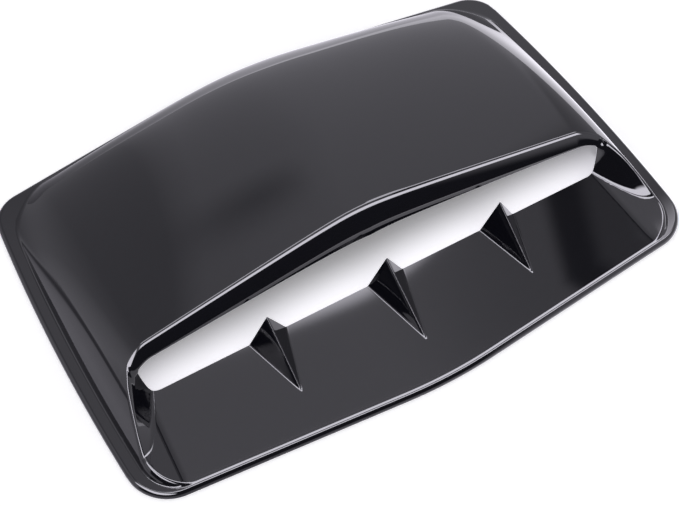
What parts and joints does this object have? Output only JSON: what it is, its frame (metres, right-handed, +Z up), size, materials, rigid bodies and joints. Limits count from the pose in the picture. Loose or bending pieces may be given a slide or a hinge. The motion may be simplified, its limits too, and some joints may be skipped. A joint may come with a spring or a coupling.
{
  "type": "car bonnet vent",
  "caption": "Gloss black car bonnet vent: a flanged moulding with a crowned hood, a wide mouth and folded fins on its ramp.",
  "frame": {"origin": "middle of the flange's underside, halfway between the front and rear edges at the centre line", "axes": "+X across the car towards the vent's right as seen from the mouth, -Y towards the mouth and front rim, +Z up and away from the bonnet"},
  "size_m": [0.44, 0.3067, 0.0513],
  "materials": {
    "gloss_black": "high gloss black"
  },
  "bodies": {
    "root": {"vent_moulding": "gloss_black"}
  },
  "joints": []
}
